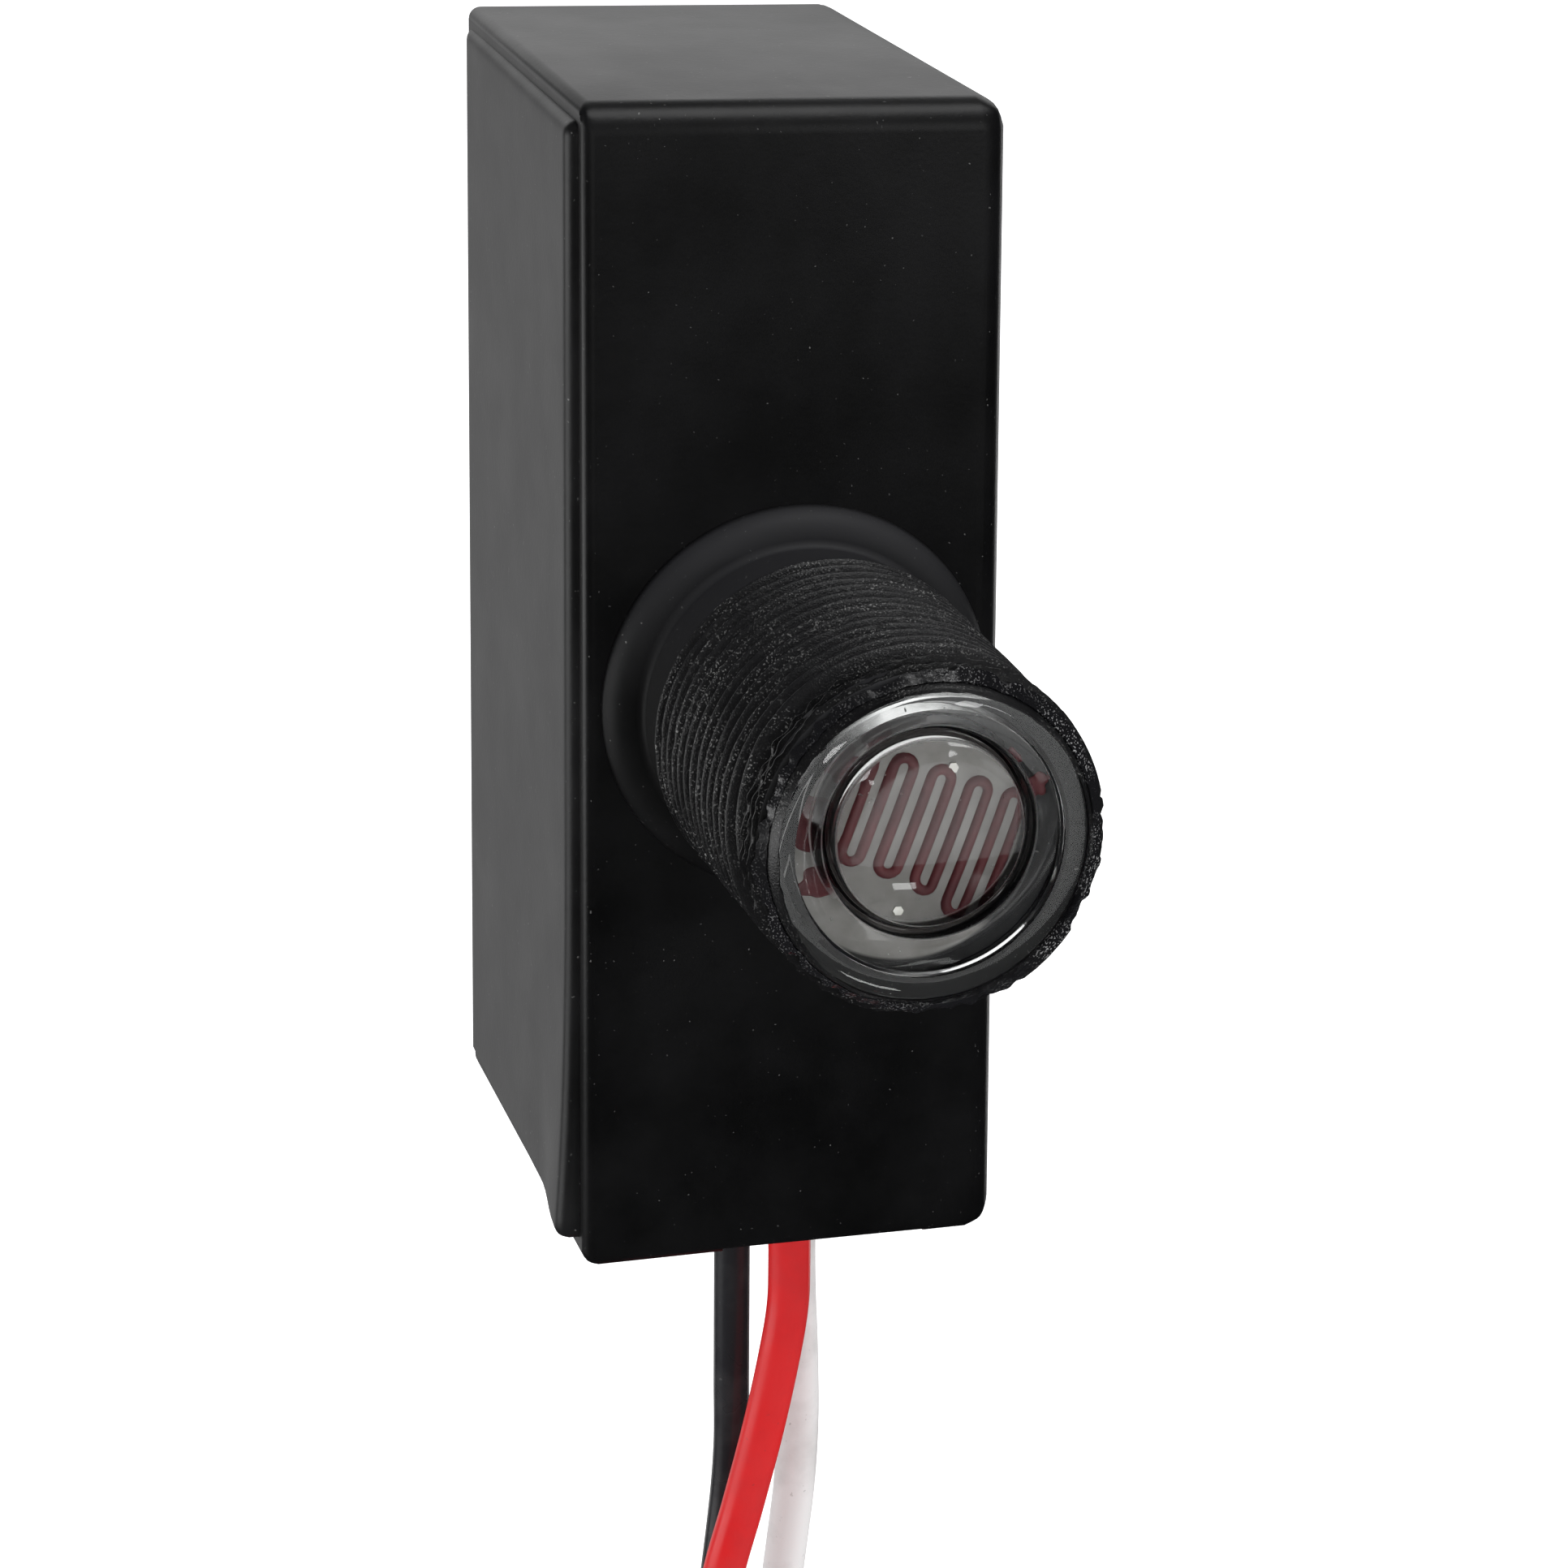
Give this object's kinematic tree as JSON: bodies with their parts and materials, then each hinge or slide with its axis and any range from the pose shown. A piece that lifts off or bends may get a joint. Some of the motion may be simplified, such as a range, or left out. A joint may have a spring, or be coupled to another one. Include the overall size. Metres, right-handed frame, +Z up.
{
  "type": "photocell switch",
  "caption": "Fixed-mount photocell light switch: slim black housing, threaded nozzle with a clear lens over the light cell, and hanging black, red and white leads.",
  "frame": {"origin": "on the nozzle's axis, in the plane of the housing's front face, where the part seats against the plate it is fixed to", "axes": "-Y along the nozzle, away from the housing; +X to the right of the front face; +Z up, away from the leads"},
  "size_m": [0.0276, 0.0653, 0.2235],
  "materials": {
    "housing_moulding": "satin",
    "cover_moulding": "satin",
    "clear_lens": "gloss",
    "adhesive": "gloss",
    "cell_ceramic": "matte",
    "tinned_wire": "satin",
    "sleeving": "matte",
    "holder_moulding": "matte",
    "board_laminate": "matte",
    "bushing_moulding": "matte",
    "relay_case": "gloss",
    "film_capacitor": "gloss",
    "capacitor_sleeve": "gloss",
    "varistor_coating": "satin",
    "diode_moulding": "matte",
    "glass_diode": "gloss",
    "resistor_coating": "satin",
    "black_insulation": "satin",
    "red_insulation": "satin",
    "white_insulation": "satin"
  },
  "bodies": {
    "root": {"housing_shell": "housing_moulding", "side_cover": "cover_moulding", "lens": "clear_lens", "lens_seal": "adhesive", "cell_disc": "cell_ceramic", "cell_lead_a": "tinned_wire", "cell_lead_b": "tinned_wire", "cell_sleeve_a": "sleeving", "cell_sleeve_b": "sleeving", "cell_holder": "holder_moulding", "circuit_board": "board_laminate", "relay": "relay_case", "dropper_capacitor": "film_capacitor", "smoothing_capacitor": "capacitor_sleeve", "surge_varistor": "varistor_coating", "rectifier_diode_1": "diode_moulding", "rectifier_diode_2": "diode_moulding", "rectifier_diode_3": "diode_moulding", "rectifier_diode_4": "diode_moulding", "zener_diode": "glass_diode", "load_resistor": "resistor_coating", "cell_resistor": "resistor_coating", "switch_transistor": "diode_moulding", "lead_bushing": "bushing_moulding", "black_lead": "black_insulation", "red_lead": "red_insulation", "white_lead": "white_insulation", "black_bare_end": "tinned_wire", "red_bare_end": "tinned_wire", "white_bare_end": "tinned_wire", "black_solder_end": "tinned_wire", "red_solder_end": "tinned_wire", "white_solder_end": "tinned_wire"}
  },
  "joints": []
}
